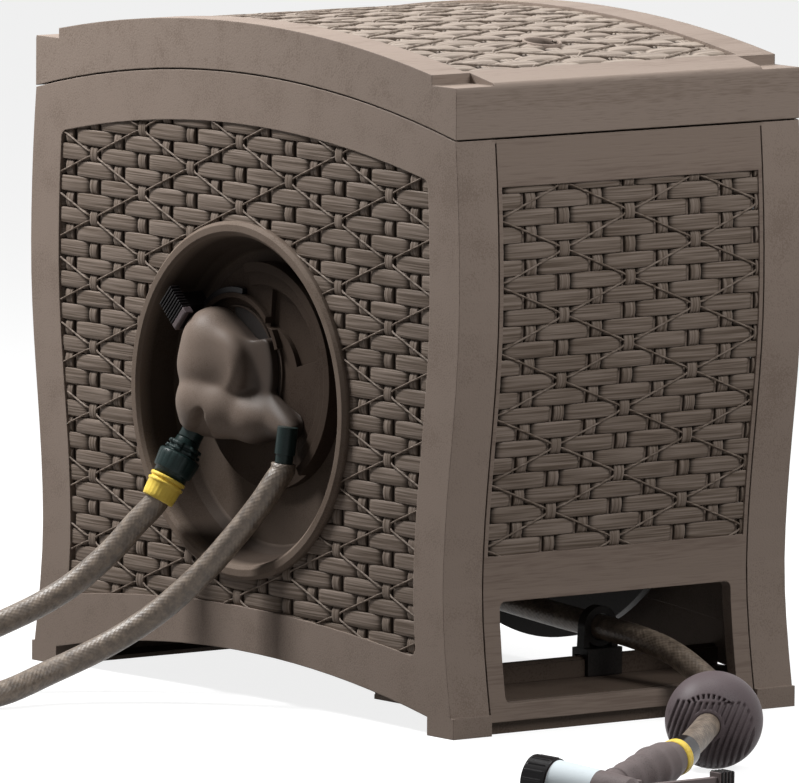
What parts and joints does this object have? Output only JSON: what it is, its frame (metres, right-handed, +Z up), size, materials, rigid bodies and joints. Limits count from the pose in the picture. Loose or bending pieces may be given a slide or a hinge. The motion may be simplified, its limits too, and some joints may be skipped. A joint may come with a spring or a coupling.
{
  "type": "hose reel",
  "caption": "Cabinet hose reel with woven-look panels, lift-up arched lid, recessed water motor that winds the drum, leader hoses, hose stop ball and spray nozzle.",
  "frame": {"origin": "centre of the cabinet's footprint on the floor, at the height of the feet", "axes": "+Z up; -Y the front with the hose outlet; -X the side with the water motor; +X the plain side; the lid hinges at the back, +Y"},
  "size_m": [0.915, 1.2557, 0.594],
  "materials": {
    "taupe_plastic": "fine pebble grain",
    "front_plastic": "brushed wood-like grain",
    "tray_plastic": "plain",
    "dark_plastic": "plain",
    "lid_plastic": "fine pebble grain",
    "well_plastic": "satin",
    "housing_plastic": "satin",
    "lever_plastic": "satin",
    "connector_plastic": "satin",
    "yellow_plastic": "satin",
    "hose_vinyl": "mottled vinyl",
    "brass": "turned",
    "acetal": "plain",
    "steel": "zinc plated",
    "spindle_brass": "turned",
    "seal_rubber": "matt",
    "ball_plastic": "matt",
    "nozzle_plastic": "soft-touch",
    "bezel_plastic": "satin"
  },
  "bodies": {
    "cabinet": {"motor_side_panel": "taupe_plastic", "far_side_panel": "taupe_plastic", "front_panel": "front_plastic", "rear_panel": "front_plastic", "front_tray": "tray_plastic", "rear_tray": "tray_plastic", "guide_rail": "tray_plastic", "hose_guide": "dark_plastic", "hinge_pins": "steel", "well_cup": "well_plastic", "dial_plate": "well_plastic", "motor_housing": "housing_plastic", "swivel_spindle": "spindle_brass", "swivel_seals": "seal_rubber", "far_axle": "steel", "axle_clip": "steel", "inlet_stub": "connector_plastic", "drain_stub": "connector_plastic", "connector_body": "connector_plastic", "connector_collar": "yellow_plastic", "supply_hose": "hose_vinyl", "supply_coil": "hose_vinyl", "supply_coupling": "brass", "drain_hose": "hose_vinyl", "drain_coil": "hose_vinyl", "front_hose": "hose_vinyl", "ball_front": "ball_plastic", "ball_rear": "ball_plastic", "ball_screws": "steel", "end_coupling": "nozzle_plastic", "coupling_band": "yellow_plastic", "nozzle_body": "nozzle_plastic", "trigger_pin": "steel", "panel_screws": "steel", "housing_screws": "steel"},
    "lid": {"lid": "lid_plastic"},
    "drum": {"drive_gear": "acetal", "motor_flange": "dark_plastic", "far_flange": "dark_plastic", "drum_hub": "dark_plastic", "hub_elbow": "dark_plastic", "far_bush": "acetal", "hose_core": "hose_vinyl", "hose_winding": "hose_vinyl"},
    "pinion": {"motor_pinion": "acetal", "turbine_wheel": "acetal"},
    "lever": {"control_lever": "lever_plastic", "lever_grip": "lever_plastic"},
    "sleeve": {"connector_sleeve": "connector_plastic"},
    "trigger": {"nozzle_trigger": "bezel_plastic"},
    "bezel": {"nozzle_bezel": "bezel_plastic"}
  },
  "joints": [
    {"name": "lid_hinge", "type": "hinge", "parent": "cabinet", "child": "lid", "pos_m": [0, 0.3075, 0.5145], "axis": [-1, 0, 0], "range_deg": [0, 100]},
    {"name": "drum_spin", "type": "hinge", "parent": "cabinet", "child": "drum", "pos_m": [0, 0, 0.263], "axis": [1, 0, 0], "continuous": true},
    {"name": "pinion_spin", "type": "hinge", "parent": "cabinet", "child": "pinion", "pos_m": [0, 0.04026, 0.28914], "axis": [1, 0, 0], "continuous": true},
    {"name": "lever_turn", "type": "hinge", "parent": "cabinet", "child": "lever", "pos_m": [0, 0.04026, 0.28614], "axis": [1, 0, 0], "range_deg": [0, 40]},
    {"name": "sleeve_slide", "type": "slide", "parent": "cabinet", "child": "sleeve", "axis": [-0.4646, 0.1493, -0.8728], "range_m": [0, 0.0045], "stiffness_N_per_m": 400},
    {"name": "trigger_pull", "type": "hinge", "parent": "cabinet", "child": "trigger", "pos_m": [-0.318, -0.722, 0.018], "axis": [0, 0, 1], "range_deg": [0, 8], "stiffness_Nm_per_rad": 1.2},
    {"name": "bezel_turn", "type": "hinge", "parent": "cabinet", "child": "bezel", "pos_m": [-0.3724, -0.6573, 0.024], "axis": [-0.3502, 0.9336, 0.0758], "range_deg": [0, 315]}
  ],
  "couplings": [
    {"joint": "pinion_spin", "follows": "drum_spin", "ratio": -3}
  ]
}
